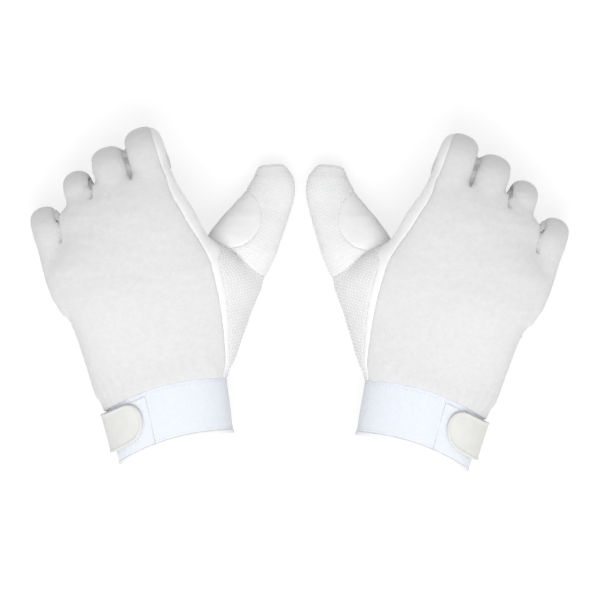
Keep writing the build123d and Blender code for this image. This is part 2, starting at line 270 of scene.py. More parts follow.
FINGERS = {  # knuckle; splay; slope; bones; curls; half width and half height
    "index": ((25.0, 90.0, 48.5), 5.2, 10.0, (46.5, 23.0, 15.0), (88.0, 42.0), (10.5, 9.8)),
    "middle": ((4.4, 90.0, 49.0), 6.0, 17.0, (42.5, 21.0, 15.0), (86.0, 48.0), (10.1, 9.6)),
    "ring": ((-17.4, 88.0, 45.5), 3.4, 20.0, (36.0, 19.5, 14.5), (84.0, 52.0), (8.4, 9.2)),
    "little": ((-38.9, 66.0, 41.0), 3.4, 8.0, (39.6, 17.8, 13.0), (84.0, 40.0), (8.5, 9.0)),
}
THUMB_ROWS = np.array([  # inner edge; outer edge; height of the centre; half height
    (24.0, 52.0, 57.0, 36.0, 21.0, 12.0),
    (43.5, 77.2, 74.6, 54.0, 22.2, 13.8),
    (55.0, 86.9, 84.6, 69.4, 18.6, 12.8),
    (64.4, 93.4, 91.4, 80.6, 14.0, 11.6),
    (70.4, 98.0, 96.2, 90.6, 11.8, 10.6),
    (74.6, 102.4, 97.6, 97.6, 10.4, 9.4),
    (78.8, 107.2, 95.2, 104.0, 9.8, 6.4),
])
BEND_SLACK = 1.5  # a finger bends about a centre this far under its inner wall
LITTLE_SEAM = 180.0  # degrees from the thumb side, over the back, to the back's outer seam
FORK_UP, FORK_DOWN = 14.0, 45.0  # a fourchette covers this much over and under a finger's flank
STRIP_LOW, STRIP_HIGH = -8.0, 54.0  # the side strip's seams along the index finger


def step(value, low, high):
    """Smooth step from 0 at low to 1 at high."""
    t = np.clip((value - low) / (high - low), 0, 1)
    return t * t * (3 - 2 * t)


def along(stations, rows, wanted):
    """Smooth curve through rows of values: on each stretch a cubic, whose slope at a row is the harmonic
    mean of the slopes beside it, or zero where they turn back, so it never swings past a row."""
    rows = np.asarray(rows, float)
    gap = np.diff(stations)[:, None]
    slope = np.diff(rows, axis=0) / gap
    product = slope[1:] * slope[:-1]
    total = np.where(product > 0, slope[1:] + slope[:-1], 1.0)
    inner = np.where(product > 0, 2 * product / total, 0.0)
    slopes = np.vstack([slope[:1], inner, slope[-1:]])
    i = np.clip(np.searchsorted(stations, wanted, side="right") - 1, 0, len(gap) - 1)
    t = ((wanted - stations[i]) / gap[i, 0])[:, None]
    a, b, h = rows[i], rows[i + 1], gap[i]
    ease = t * t * (3 - 2 * t)
    return a + (b - a) * ease + h * t * (1 - t) * ((1 - t) * slopes[i] - t * slopes[i + 1])


def oval(angle, half):
    """Points of an oval: each half size times the cosine or the sine to the power 2 / roundness, signed."""
    turn = np.radians(angle)
    c, s = np.cos(turn), np.sin(turn)
    x = half[..., 0] * np.sign(c) * np.abs(c) ** (2 / ROUNDNESS)
    y = half[..., 1] * np.sign(s) * np.abs(s) ** (2 / ROUNDNESS)
    return x, y


def tube_of(centre, side, out, half):
    """One tube: its sections, the way along it, and the distance round each section from angle zero."""
    angles = np.linspace(0, 360, RING + 1)
    x, y = oval(angles[None, :], half[:, None, :])
    chord = np.hypot(np.diff(x, axis=1), np.diff(y, axis=1))
    arcs = np.hstack([np.zeros((len(chord), 1)), np.cumsum(chord, axis=1)])
    run = np.linalg.norm(np.diff(centre, axis=0), axis=1)
    length = np.concatenate([[0.0], np.cumsum(run)])
    return {"centre": centre, "side": side, "out": out, "half": half, "arcs": arcs, "length": length}


def cuff_row(y, outward):
    """Palm row that follows the cuff's oval at a distance along the hand."""
    share = -y / CUFF_LENGTH
    x = CUFF_TOP[0] + (CUFF_END[0] - CUFF_TOP[0]) * share
    w = CUFF_TOP[1] + (CUFF_END[1] - CUFF_TOP[1]) * share + outward
    h = CUFF_HALF + outward
    return (y, x - w, x + w, CUFF_MIDDLE - h, CUFF_MIDDLE + h, 0.0, *WRIST_SEAMS)


def palm_tube():
    """Ovals across the hand, from over the cuff to the finger roots; each row gives the box of one oval and
    its roll, and the rows are joined smoothly along the hand."""
    rows = np.vstack([cuff_row(-14.0, CLOTH), cuff_row(1.0, CLOTH), PALM_ROWS])
    y = np.linspace(-14.0, PALM_ROWS[-1, 0], 150)
    low_x, high_x, low_z, high_z, roll, back, edge = along(rows[:, 0], rows[:, 1:], y).T
    turn = np.radians(roll)
    nothing = np.zeros_like(y)
    centre = np.stack([(low_x + high_x) / 2, y, (low_z + high_z) / 2], 1)
    side = np.stack([np.cos(turn), nothing, np.sin(turn)], 1)
    out = np.stack([-np.sin(turn), nothing, np.cos(turn)], 1)
    half = np.stack([(high_x - low_x) / 2, (high_z - low_z) / 2], 1)
    tube = tube_of(centre, side, out, half)
    steps = np.linspace(100, 0, 2001)
    across, over = oval(steps[None, :], half[:, None, :])
    surface = centre[:, :1] + side[:, :1] * across + out[:, :1] * over
    for name, x in (("back", back), ("edge", edge)):
        tube[name] = 100 - 0.05 * (surface < x[:, None]).sum(1)
    tube["edge"] = tube["edge"] - (tube["edge"] - STRIP_LOW) * step(y, 62.0, 80.0)
    return tube


def finger_tube(knuckle, splay, slope, bones, curls, half):
    """A finger's path: its heading starts at the slope and turns down evenly over a round bend at each
    joint, and the path is the running sum of the headings. The tip is a dome."""
    w, h = half
    curl = np.radians(curls)
    second = min(h + BEND_SLACK, 0.4 * bones[2] / np.sin(curl[1] / 2))
    radius = np.array([h + BEND_SLACK, second])
    cut = radius * np.tan(curl / 2)
    bend = radius * curl
    first = bones[0] - cut[0]
    next_bend = first + bend[0] + bones[1] - cut[0] - cut[1]
    end = next_bend + bend[1] + bones[2] - cut[1]
    dome_from, dome_to = end - 0.25 * h, end + 0.72 * h
    dome = np.sin(np.linspace(0, np.pi / 2, 12))
    s = np.concatenate([np.arange(-14.0, dome_from, 1.0), dome_from + (dome_to - dome_from) * dome])
    turned = curl[0] * np.clip((s - first) / bend[0], 0, 1)
    turned = turned + curl[1] * np.clip((s - next_bend) / bend[1], 0, 1)
    turn = np.radians(slope) + turned
    lean = np.radians(splay)
    ahead = np.array([-np.sin(lean), np.cos(lean), 0.0])
    heading = ahead * np.cos(turn)[:, None] - np.array([0, 0, 1.0]) * np.sin(turn)[:, None]
    middle = (heading[1:] + heading[:-1]) / 2 * np.diff(s)[:, None]
    path = np.vstack([np.zeros(3), np.cumsum(middle, axis=0)])
    zero = np.array([np.interp(0.0, s, path[:, k]) for k in range(3)])
    side = np.tile([np.cos(lean), np.sin(lean), 0.0], (len(s), 1))
    scale = np.interp(s, [-14.0, 0.0, 8.0, first, dome_from], [0.55, 1.05, 1.12, 1.0, 1.0])
    t = np.clip((s - dome_from) / (dome_to - dome_from), 0, 1)
    scale = scale * np.maximum(1 - t ** 2.4, 0.0004) ** (1 / 2.4)
    sizes = np.array([w, h]) * scale[:, None]
    tube = tube_of(np.array(knuckle) + path - zero, side, np.cross(side, heading), sizes)
    tube["tip"] = s - end
    return tube


def thumb_tube():
    """Upright ovals between the thumb's inner and outer edges, joined smoothly and closed by a low dome."""
    rows = THUMB_ROWS
    middle = (rows[:, 0:2] + rows[:, 2:4]) / 2
    stations = np.concatenate([[0.0], np.cumsum(np.linalg.norm(np.diff(middle, axis=0), axis=1))])
    s = np.linspace(0, stations[-1], 70)
    table = along(stations, rows, s)
    inner, outer = table[:, 0:2], table[:, 2:4]
    across = outer - inner
    width = np.linalg.norm(across, axis=1)
    flat = np.zeros((len(s), 1))
    centre = np.hstack([(inner + outer) / 2, table[:, 4:5]])
    side = np.hstack([across / width[:, None], flat])
    out = np.tile([0.0, 0.0, 1.0], (len(s), 1))
    sizes = np.stack([width / 2, table[:, 5]], 1)
    tip = centre[-1] - centre[-2]
    tip = tip / np.linalg.norm(tip)
    dome = np.sin(np.linspace(0, np.pi / 2, 8))[1:]
    centre = np.vstack([centre, centre[-1] + tip * dome[:, None] * 2.6])
    side = np.vstack([side, np.tile(side[-1], (len(dome), 1))])
    out = np.vstack([out, np.tile(out[-1], (len(dome), 1))])
    shrink = np.maximum(1 - dome ** 3, 0.001) ** (1 / 3)
    sizes = np.vstack([sizes, sizes[-1] * shrink[:, None]])
    return tube_of(centre, side, out, sizes)


PALM = palm_tube()
DIGITS = {name: finger_tube(*bones) for name, bones in FINGERS.items()}
DIGITS["thumb"] = thumb_tube()
TUBES = {"palm": PALM, **DIGITS}


def grid_faces(rows, columns, closed=False):
    """Four-cornered faces of a grid of points, wound along the row first; closed joins the last column to
    the first."""
    i = np.arange(rows - 1)[:, None] * columns
    j = np.arange(columns if closed else columns - 1)[None, :]
    k = (j + 1) % columns
    return np.stack([i + j, i + k, i + columns + k, i + columns + j], -1).reshape(-1, 4)


def closed_tube(tube):
    """Points and triangles of a tube, with a fan over each end."""
    angles = np.arange(0, 360, 360 / RING)
    x, y = oval(angles[None, :], tube["half"][:, None, :])
    rings = tube["centre"][:, None] + tube["side"][:, None] * x[..., None]
    rings = rings + tube["out"][:, None] * y[..., None]
    rows = len(rings)
    quads = grid_faces(rows, RING, closed=True)
    sides = np.vstack([quads[:, [0, 1, 2]], quads[:, [0, 2, 3]]])
    points = np.vstack([rings.reshape(-1, 3), tube["centre"][[0, -1]]])
    j = np.arange(RING)
    k = (j + 1) % RING
    low, high = rows * RING, rows * RING + 1
    ends = [np.stack([k, j, np.full(RING, low)], 1), np.stack([j, k, np.full(RING, high)], 1)]
    ends[1][:, :2] += (rows - 1) * RING
    return points, np.vstack([sides, *ends])


def one_skin(tubes, voxel):
    """The outer skin of all the tubes together, as even triangles, by a voxel remesh."""
    points, faces, start = [], [], 0
    for tube in tubes:
        p, f = closed_tube(tube)
        points.append(p)
        faces.append(f + start)
        start += len(p)
    mesh = bpy.data.meshes.new("skin")
    mesh.from_pydata(np.vstack(points) * MM, [], np.vstack(faces))
    form = bpy.data.objects.new("skin", mesh)
    bpy.context.scene.collection.objects.link(form)
    modifier = form.modifiers.new("skin", "REMESH")
    modifier.mode = "VOXEL"
    modifier.voxel_size = voxel * MM
    seen = bpy.context.evaluated_depsgraph_get()
    skin = bpy.data.meshes.new_from_object(form.evaluated_get(seen))
    found = np.empty(len(skin.vertices) * 3)
    skin.vertices.foreach_get("co", found)
    corners = np.empty(len(skin.loops), int)
    skin.loops.foreach_get("vertex_index", corners)
    quads = corners.reshape(-1, 4)
    bpy.data.objects.remove(form)
    for used in (mesh, skin):
        bpy.data.meshes.remove(used)
    return found.reshape(-1, 3) / MM, np.vstack([quads[:, [0, 1, 2]], quads[:, [0, 2, 3]]])


def edges_of(faces):
    """Every edge once, as sorted pairs."""
    pairs = np.vstack([faces[:, [0, 1]], faces[:, [1, 2]], faces[:, [2, 0]]])
    return np.unique(np.sort(pairs, axis=1), axis=0)


def relaxed(points, edges, rounds, share=0.5):
    """Moves every point part of the way to the middle of its neighbours, so many times."""
    count = np.bincount(edges.ravel(), minlength=len(points))[:, None]
    for _ in range(rounds):
        total = np.stack([
            np.bincount(edges[:, 0], points[edges[:, 1], k], len(points))
            + np.bincount(edges[:, 1], points[edges[:, 0], k], len(points))
            for k in range(3)
        ], 1)
        points = points + (total / count - points) * share
    return points


def normals_of(points, faces):
    """Unit normal of each point: the sum of its faces' cross products."""
    a, b, c = points[faces[:, 0]], points[faces[:, 1]], points[faces[:, 2]]
    cross = np.cross(b - a, c - a)
    total = np.stack([
        sum(np.bincount(faces[:, i], cross[:, k], len(points)) for i in range(3)) for k in range(3)
    ], 1)
    return total / np.maximum(np.linalg.norm(total, axis=1), 1e-12)[:, None]


def near(points, centre, radius):
    """1 at a place, falling smoothly to 0 at a radius round it."""
    return 1 - step(np.linalg.norm(points - np.array(centre), axis=1), 0.35 * radius, radius)


skin_points, skin_faces = one_skin(TUBES.values(), 0.9)
skin_edges = edges_of(skin_faces)
skin_points = relaxed(skin_points, skin_edges, 8)
facing = normals_of(skin_points, skin_faces)
knuckles = step(facing[:, 2], 0.15, 0.6) * step(skin_points[:, 1], 74.0, 84.0)
knuckles = knuckles * (1 - step(skin_points[:, 1], 112.0, 119.0))
knuckles = knuckles * step(skin_points[:, 2], 30.0, 38.0)
eased = np.maximum.reduce([
    knuckles,
    near(skin_points, (-50.0, 80.0, 38.0), 20.0) * step(skin_points[:, 2], 24.0, 32.0),
    near(skin_points, (62.0, 45.0, 20.0), 26.0),
    near(skin_points, (31.0, 117.0, 44.0), 13.0),
])
skin_points = relaxed(skin_points, skin_edges, 60, 0.6 * eased[:, None])


# ---- Seams: which panel each bit of cloth belongs to ------------------------------------------------------
# The hand is sewn from a back, a dotted palm, a narrow strip along the index finger, three fourchettes
# between the fingers, a dotted thumb and a plain half-moon gusset in the thumb's crotch.
PANELS = ("back_panel", "palm_panel", "index_side_panel", "index_middle_fourchette",
          "middle_ring_fourchette", "ring_little_fourchette", "thumb_panel", "thumb_gusset")
BACK, GRIP, STRIP, FORK_A, FORK_B, FORK_C, THUMB, GUSSET = range(8)
GUSSET_CENTRE, GUSSET_RADIUS = np.array([58.2, 85.0]), 17.4
SEAM_RAMP = 3.0  # one panel's share gives way to the next over this distance


def on_tube(tube, points, by_y=False):
    """Where points lie on a tube: station, angle in degrees, and distance from its surface in millimetres.
    The station is the nearest section, or for the palm the section at that y."""
    if by_y:
        station = np.interp(points[:, 1], tube["centre"][:, 1], np.arange(len(tube["centre"])))
    else:
        c = tube["centre"]
        square = (c * c).sum(1)[None, :] - 2 * points @ c.T
        row = np.argmin(square, axis=1)
        ahead = c[np.minimum(row + 1, len(c) - 1)] - c[np.maximum(row - 1, 0)]
        size = np.maximum(np.linalg.norm(ahead, axis=1), 1e-6)
        past = ((points - c[row]) * ahead).sum(1) / size
        run = size / np.where((row == 0) | (row == len(c) - 1), 1, 2)
        station = np.clip(row + np.clip(past / run, -0.5, 0.5), 0, len(c) - 1)
    i = np.minimum(station.astype(int), len(tube["centre"]) - 2)
    f = (station - i)[:, None]
    wanted = ("centre", "side", "out", "half")
    centre, side, out, half = [tube[k][i] * (1 - f) + tube[k][i + 1] * f for k in wanted]
    away = points - centre
    x, y = (away * side).sum(1), (away * out).sum(1)
    beyond = away - side * x[:, None] - out * y[:, None]
    u, v = np.abs(x) / half[:, 0], np.abs(y) / half[:, 1]
    size = (u ** ROUNDNESS + v ** ROUNDNESS) ** (1 / ROUNDNESS)
    turn = np.degrees(np.arctan2(v ** (ROUNDNESS / 2), u ** (ROUNDNESS / 2)))
    turn = np.where(x < 0, 180 - turn, turn)
    angle = np.where(y < 0, 360 - turn, turn)
    radial = np.abs(size - 1) * np.hypot(x, y) / np.maximum(size, 1e-6)
    return station, angle, np.hypot(radial, np.linalg.norm(beyond, axis=1))


def arc_at(tube, station, angle):
    """Distance round the section from angle zero to an angle, read from the tube's table."""
    i = np.clip(station.astype(int), 0, len(tube["arcs"]) - 2)
    f = np.clip(station - i, 0, 1)
    a = np.mod(angle, 360) / 360 * RING
    j = np.minimum(a.astype(int), RING - 1)
    g = a - j
    t = tube["arcs"]
    low = t[i, j] * (1 - g) + t[i, j + 1] * g
    high = t[i + 1, j] * (1 - g) + t[i + 1, j + 1] * g
    return low * (1 - f) + high * f


def inside_band(tube, station, angle, low, high):
    """Distance round the section from the nearer edge of a band between two angles, positive inside it."""
    round_trip = arc_at(tube, station, np.full_like(angle, 359.999))
    a, b = arc_at(tube, station, low), arc_at(tube, station, high)
    width = np.mod(b - a, round_trip)
    middle = a + width / 2
    off = np.mod(arc_at(tube, station, angle) - middle + round_trip / 2, round_trip) - round_trip / 2
    return width / 2 - np.abs(off)


def ramp(distance):
    """0 well outside, one half at the seam, 1 well inside."""
    return np.clip(0.5 + distance / SEAM_RAMP, 0, 1)


BANDS = {
    "index": [(STRIP, STRIP_LOW, STRIP_HIGH), (BACK, STRIP_HIGH, 180 - FORK_UP),
              (FORK_A, 180 - FORK_UP, 180 + FORK_DOWN), (GRIP, 180 + FORK_DOWN, 360 + STRIP_LOW)],
    "middle": [(FORK_A, -FORK_DOWN, FORK_UP), (BACK, FORK_UP, 180 - FORK_UP),
               (FORK_B, 180 - FORK_UP, 180 + FORK_DOWN), (GRIP, 180 + FORK_DOWN, 360 - FORK_DOWN)],
    "ring": [(FORK_B, -FORK_DOWN, FORK_UP), (BACK, FORK_UP, 180 - FORK_UP),
             (FORK_C, 180 - FORK_UP, 180 + FORK_DOWN), (GRIP, 180 + FORK_DOWN, 360 - FORK_DOWN)],
    "little": [(FORK_C, -FORK_DOWN, FORK_DOWN), (BACK, FORK_DOWN, LITTLE_SEAM),
               (GRIP, LITTLE_SEAM, 360 - FORK_DOWN)],
}


def panel_shares(points):
    """How much each panel claims each point, and where the point lies on the tube it is nearest to. Every
    tube claims a point less, the further off it is, and divides its claim among its own bands."""
    claims = np.zeros((len(points), len(PANELS)))
    total = np.zeros(len(points))
    nearest = np.full(len(points), np.inf)
    spot = {"tube": np.zeros(len(points), int), "stations": [], "angles": []}
    for number, (name, tube) in enumerate(TUBES.items()):
        station, angle, distance = on_tube(tube, points, by_y=name == "palm")
        weight = np.exp(-np.clip(distance - 1.5, 0.0, 40.0) / 0.7)
        if name == "palm":
            weight = weight * (1 - 0.98 * step(points[:, 1], 112.0, 119.0))
            weight = weight * (1 - 0.98 * step(-points[:, 0], 33.0, 36.0) * step(points[:, 1], 86.0, 94.0))
        elif name != "thumb":
            from_root = np.interp(station, np.arange(len(tube["length"])), tube["length"]) - 14.0
            weight = weight * step(from_root, 4.0, 16.0)
        own = np.zeros_like(claims)
        if name == "thumb":
            own[:, THUMB] = 1.0
        elif name == "palm":
            back = np.interp(station, np.arange(len(tube["back"])), tube["back"])
            edge = np.interp(station, np.arange(len(tube["edge"])), tube["edge"])
            last = np.full_like(angle, LITTLE_SEAM)
            own[:, STRIP] = ramp(inside_band(tube, station, angle, edge, back))
            own[:, BACK] = ramp(inside_band(tube, station, angle, back, last))
            own[:, GRIP] = ramp(inside_band(tube, station, angle, last, edge + 360))
        else:
            for panel, low, high in BANDS[name]:
                edges = [np.full_like(angle, a) for a in (low, high)]
                own[:, panel] = ramp(inside_band(tube, station, angle, *edges))
            tip = np.interp(station, np.arange(len(tube["tip"])), tube["tip"])
            closing = ramp(tip - 2.0)[:, None]
            own = own * (1 - closing)
            own[:, GRIP] += closing[:, 0]
        own = own / np.maximum(own.sum(1), 1e-9)[:, None]
        claims += own * weight[:, None]
        total += weight
        closer = distance < nearest
        nearest = np.where(closer, distance, nearest)
        spot["tube"] = np.where(closer, number, spot["tube"])
        spot["stations"].append(station)
        spot["angles"].append(angle)
    claims = claims / np.maximum(total, 1e-30)[:, None]
    moon = ramp(GUSSET_RADIUS - np.linalg.norm(points[:, :2] - GUSSET_CENTRE, axis=1))
    claims[:, GUSSET] = claims[:, THUMB] * moon
    claims[:, THUMB] = claims[:, THUMB] * (1 - moon)
    return claims, spot


def cut_at_seams(points, faces, claims):
    """Splits every triangle that a seam crosses, where two panels' claims are equal, so that each triangle
    has one panel. Returns the new points, triangles, panels, and how far each point is from a seam."""
    panel = np.argmax(claims, axis=1)
    corner = panel[faces]
    same = (corner[:, 0] == corner[:, 1]) & (corner[:, 1] == corner[:, 2])
    mixed = faces[~same]
    edges = edges_of(mixed)
    edges = edges[panel[edges[:, 0]] != panel[edges[:, 1]]]
    a, b = edges.T
    pa, pb = panel[a], panel[b]
    lead_a = claims[a, pa] - claims[a, pb]
    lead_b = claims[b, pb] - claims[b, pa]
    t = np.clip(lead_a / np.maximum(lead_a + lead_b, 1e-9), 0.06, 0.94)[:, None]
    crossing = points[a] * (1 - t) + points[b] * t
    key = a * np.int64(len(points)) + b
    order = np.argsort(key)

    def on_edge(u, v):
        wanted = np.minimum(u, v) * np.int64(len(points)) + np.maximum(u, v)
        return len(points) + order[np.searchsorted(key[order], wanted)]

    out_faces, out_panels = [faces[same]], [corner[same, 0]]
    for turn in range(3):
        tri = np.roll(mixed, -turn, axis=1)
        lone, left, right = panel[tri].T
        pick = (left == right) & (lone != left)
        v, p, q = tri[pick].T
        vp, vq = on_edge(v, p), on_edge(v, q)
        out_faces += [np.stack([v, vp, vq], 1), np.stack([vp, p, q], 1), np.stack([vp, q, vq], 1)]
        out_panels += [lone[pick], left[pick], left[pick]]
    c = panel[mixed]
    three = (c[:, 0] != c[:, 1]) & (c[:, 1] != c[:, 2]) & (c[:, 0] != c[:, 2])
    tri = mixed[three]
    middle = points[tri].mean(axis=1)
    hub = len(points) + len(crossing) + np.arange(len(tri))
    for turn in range(3):
        v, p, q = np.roll(tri, -turn, axis=1).T
        vp, vq = on_edge(v, p), on_edge(v, q)
        out_faces += [np.stack([v, vp, hub], 1), np.stack([v, hub, vq], 1)]
        out_panels += [panel[v], panel[v]]
    ranked = np.sort(claims, axis=1)
    lead = np.concatenate([ranked[:, -1] - ranked[:, -2], np.zeros(len(crossing) + len(tri))])
    return np.vstack([points, crossing, middle]), np.vstack(out_faces), np.concatenate(out_panels), lead


CUFF_BULGE, CUFF_SKEW = 5.2, np.radians(2.2)
HAND_HEM = 2.6  # the hand's lower edge lies this far over the cuff


def above_edge(points, y):
    """Distance to the finger side of an arched cuff edge, whose ends lie at y: the arch rises by its bulge
    times one less the square of the share of the half width."""
    c, s = np.cos(CUFF_SKEW), np.sin(CUFF_SKEW)
    across = points[..., 0] * c + points[..., 1] * s
    ahead = points[..., 1] * c - points[..., 0] * s
    share = np.clip(across / CUFF_TOP[1], -1, 1)
    return ahead - y - CUFF_BULGE * (1 - share ** 2)


claims, _ = panel_shares(skin_points)
below = ramp(-above_edge(skin_points, -HAND_HEM))[:, None]
claims = np.hstack([claims * (1 - below), below])
points, faces, panels, lead = cut_at_seams(skin_points, skin_faces, claims)
keep = panels < len(PANELS)
faces, panels = faces[keep], panels[keep]
used, faces = np.unique(faces, return_inverse=True)
faces = faces.reshape(-1, 3)
points, lead = points[used], lead[used]

# ---- Folds in the cloth -----------------------------------------------------------------------------------
# The cloth is drawn in along every seam, gathered where the stretch band takes it up, puffed out over the
# band, and lies in faint cross folds on the back and round the joints.
def lumps(points, size, seed):
    """Smooth noise from 0 to 1: a lattice of random values with this spacing, blended by smooth steps."""
    lattice = np.random.default_rng(seed).random((32, 32, 32))
    where = points / size + 16.0
    low = np.floor(where).astype(int)
    f = where - low
    f = f * f * (3 - 2 * f)
    total = np.zeros(len(points))
    for corner in np.ndindex(2, 2, 2):
        i, j, k = ((low + corner) % 32).T
        weight = np.prod(np.where(corner, f, 1 - f), axis=1)
        total += lattice[i, j, k] * weight
    return total


SLITS = (((9.6, 140.0), (10.6, 117.5)), ((-10.0, 132.0), (-13.2, 112.5)), ((-34.2, 112.0), (-35.0, 93.0)))


def between_fingers(points):
    """1 in the middle of a slit between two fingers, falling off to its sides and its inner end as the
    distance squared, and only over the back."""
    most = np.zeros(len(points))
    for front, end in SLITS:
        run = np.array(end) - front
        away = points[:, :2] - front
        t = np.clip(away @ run / (run @ run), 0, 1)
        distance = np.linalg.norm(away - t[:, None] * run, axis=1)
        most = np.maximum(most, np.exp(-((distance / 0.8) ** 2)))
    return most * step(points[:, 2], 22.0, 34.0)


def cloth_relief(points, lead):
    """Height of the cloth over the plain form: broad lumps, cross folds, gathers and puff at the cuff,
    less the slits between the fingers and a groove along the seams."""
    over_cuff = above_edge(points, -HAND_HEM)
    around = np.degrees(np.arctan2(points[:, 2] - CUFF_MIDDLE, points[:, 0]))
    height = 0.6 * (lumps(points, 17.0, 1) - 0.5) + 0.3 * (lumps(points, 6.0, 2) - 0.5)
    warp = 9.0 * lumps(points, 22.0, 3) + 2.0 * lumps(points, 7.0, 4)
    folds = np.sin((points[:, 1] + 0.25 * points[:, 0] + warp) * 2 * np.pi / 8.0)
    height += 0.07 * folds * step(lumps(points, 20.0, 5), 0.35, 0.7)
    gather = np.sin((around + 14 * lumps(points, 14.0, 6)) * np.pi / 180 * 30)
    near_cuff = step(over_cuff, 1.0, 4.0) * (1 - step(over_cuff, 8.0, 24.0))
    height += 0.2 * gather * near_cuff * step(lumps(points, 12.0, 7), 0.2, 0.7)
    puff = step(over_cuff, 0.0, 5.0) * (1 - step(over_cuff, 5.0, 20.0))
    height += 0.35 * puff
    height -= 2.4 * between_fingers(points)
    distance = lead * SEAM_RAMP / 2
    height += 0.12 * np.exp(-((distance - 1.5) / 0.7) ** 2) - 0.32 * np.exp(-((distance / 0.55) ** 2))
    return height


_, spot = panel_shares(points)
normals = normals_of(points, faces)
points = points + normals * cloth_relief(points, lead)[:, None]
normals = normals_of(points, faces)


def cloth_uv(spot, faces, zero):
    """Millimetres along the cloth at each corner of each face: the distance round the section from an angle,
    and the way along it, both on the tube that the face's first corner is nearest to."""
    uv = np.zeros((len(faces), 3, 2))
    tube_of_face = spot["tube"][faces[:, 0]]
    for number, tube in enumerate(TUBES.values()):
        own = tube_of_face == number
        corner = faces[own]
        station, angle = spot["stations"][number][corner], spot["angles"][number][corner]
        trip = arc_at(tube, station, np.full_like(angle, 359.999))
        start = arc_at(tube, station, np.full_like(angle, zero))
        round_way = np.mod(arc_at(tube, station, angle) - start + trip / 2, trip) - trip / 2
        round_way = round_way - trip * np.round((round_way - round_way[:, :1]) / trip)
        way = np.interp(station, np.arange(len(tube["length"])), tube["length"])
        uv[own] = np.stack([round_way + tube["centre"][20, 0], way + tube["centre"][0, 1]], -1)
    return uv


UV_TOP, UV_UNDER = cloth_uv(spot, faces, 90.0), cloth_uv(spot, faces, 270.0)
CLOTH_OF = {
    "back_panel": (BACK_COTTON, "cotton_back", UV_TOP),
    "palm_panel": (PALM_COTTON_PAINTED_SHADE, "grip_palm", UV_UNDER),
    "index_side_panel": (STRIP_COTTON_PALE_AND_PAINTED_LIGHT, "cotton_strip", UV_TOP),
    "index_middle_fourchette": (STRIP_COTTON_PALE_AND_PAINTED_LIGHT, "cotton_strip", UV_TOP),
    "middle_ring_fourchette": (STRIP_COTTON_PALE_AND_PAINTED_LIGHT, "cotton_strip", UV_TOP),
    "ring_little_fourchette": (STRIP_COTTON_PALE_AND_PAINTED_LIGHT, "cotton_strip", UV_TOP),
    "thumb_panel": (THUMB_COTTON_PAINTED_LIGHT, "grip_palm", UV_TOP),
    "thumb_gusset": (STRIP_COTTON_PALE_AND_PAINTED_LIGHT, "cotton_strip", UV_TOP),
}
for number, panel in enumerate(PANELS):
    mine = panels == number
    used, local = np.unique(faces[mine], return_inverse=True)
    local = local.reshape(-1, 3)
    material, slot, uv = CLOTH_OF[panel]
    for side in SIDES:
        piece = new_piece(f"{panel}_cloth", side, points[used], local, material, [panel], uv=uv[mine])
        walled(piece, 0.9)

# ---- Grip dots --------------------------------------------------------------------------------------------
# Small soft dots are printed on the palm and thumb cloth in staggered rows. Each is a low dome.
DOT_PITCH, DOT_RADIUS, DOT_HEIGHT = 2.1, 0.56, 0.2


def dots_on(own, corner):
    """Staggered lattice laid on the cloth's own measure: a triangle gets a dot where the lattice point
    nearest to its middle falls inside it. Returns each dot's place and the cloth's direction there."""
    row = DOT_PITCH * np.sqrt(3) / 2
    middle = corner.mean(axis=1)
    r = np.round(middle[:, 1] / row)
    shift = np.where(np.mod(r, 2) == 0, 0.0, DOT_PITCH / 2)
    q = np.round((middle[:, 0] - shift) / DOT_PITCH)
    spot_uv = np.stack([q * DOT_PITCH + shift, r * row], 1)
    a, b, c = corner[:, 0], corner[:, 1], corner[:, 2]

    def cross(p, q):
        return p[:, 0] * q[:, 1] - p[:, 1] * q[:, 0]

    area = cross(b - a, c - a)
    safe = np.where(np.abs(area) > 1e-9, area, 1.0)
    share_b = cross(spot_uv - a, c - a) / safe
    share_c = cross(b - a, spot_uv - a) / safe
    share = np.stack([1 - share_b - share_c, share_b, share_c], 1)
    solid = points[own]
    true = np.linalg.norm(np.cross(solid[:, 1] - solid[:, 0], solid[:, 2] - solid[:, 0]), axis=1)
    even = (np.abs(area) > 0.45 * true) & (np.abs(area) < 2.2 * true)
    hit = even & (share >= 0).all(axis=1)
    place = (solid[hit] * share[hit][..., None]).sum(1)
    out = (normals[own[hit]] * share[hit][..., None]).sum(1)
    return place, out / np.linalg.norm(out, axis=1)[:, None]


def domes(place, out, radius, height, around=8):
    """Low domes: a ring sunk into the cloth, a smaller ring part of the way up, and a top point, closed by
    a point underneath."""
    other = np.where(np.abs(out[:, 2:3]) < 0.9, [[0.0, 0.0, 1.0]], [[1.0, 0.0, 0.0]])
    u = np.cross(other, out)
    u = u / np.linalg.norm(u, axis=1)[:, None]
    v = np.cross(out, u)
    turn = np.arange(around) * 2 * np.pi / around
    low = np.stack([radius * np.cos(turn), radius * np.sin(turn), np.full(around, -0.15)], 1)
    level = np.full(around, 0.7 * height)
    high = np.stack([0.72 * radius * np.cos(turn), 0.72 * radius * np.sin(turn), level], 1)
    shape = np.vstack([low, high, [[0, 0, height], [0, 0, -0.15]]])
    made = place[:, None] + u[:, None] * shape[:, 0:1]
    made = made + v[:, None] * shape[:, 1:2] + out[:, None] * shape[:, 2:3]
    j = np.arange(around)
    k = (j + 1) % around
    top, under = np.full(around, 2 * around), np.full(around, 2 * around + 1)
    one = np.vstack([
        np.stack([j, k, around + k], 1), np.stack([j, around + k, around + j], 1),
        np.stack([around + j, around + k, top], 1), np.stack([k, j, under], 1),
    ])
    many = one[None] + np.arange(len(place))[:, None, None] * len(shape)
    return made.reshape(-1, 3), many.reshape(-1, 3)


